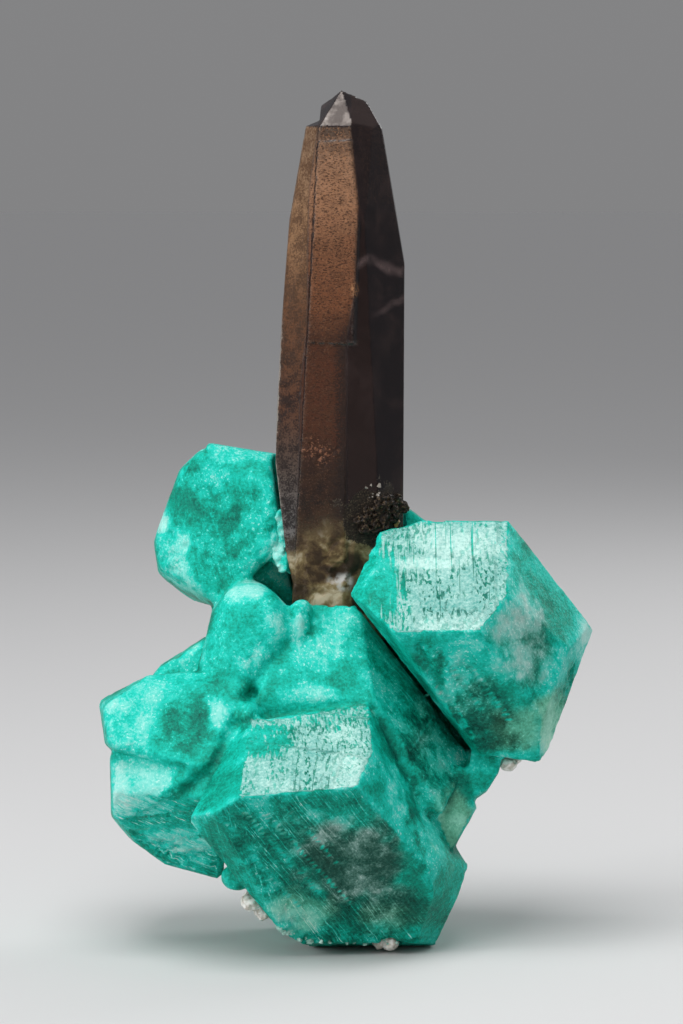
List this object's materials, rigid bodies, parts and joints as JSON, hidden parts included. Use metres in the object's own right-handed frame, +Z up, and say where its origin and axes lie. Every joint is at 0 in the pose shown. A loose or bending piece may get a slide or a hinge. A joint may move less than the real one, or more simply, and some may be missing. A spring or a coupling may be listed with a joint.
{
  "type": "amazonite mineral specimen",
  "caption": "Blocky blue-green amazonite crystals grown together around a tall smoky quartz prism, with specks of white albite, resting on a small flat spot.",
  "frame": {"origin": "middle of the small flat spot under the specimen, on the ground plane", "axes": "+Z up along the quartz prism, -Y toward the side seen in the picture, +X to that side's right"},
  "size_m": [0.0705, 0.0518, 0.1196],
  "materials": {
    "amazonite": "satin",
    "smoky_quartz": "satin",
    "albite_left": "matte",
    "albite_foot": "matte",
    "albite_right": "matte",
    "dark_crust": "matte"
  },
  "bodies": {
    "root": {"amazonite_cluster": "amazonite", "smoky_quartz": "smoky_quartz", "albite_left": "albite_left", "albite_foot": "albite_foot", "albite_right": "albite_right", "dark_crust": "dark_crust"}
  },
  "joints": []
}
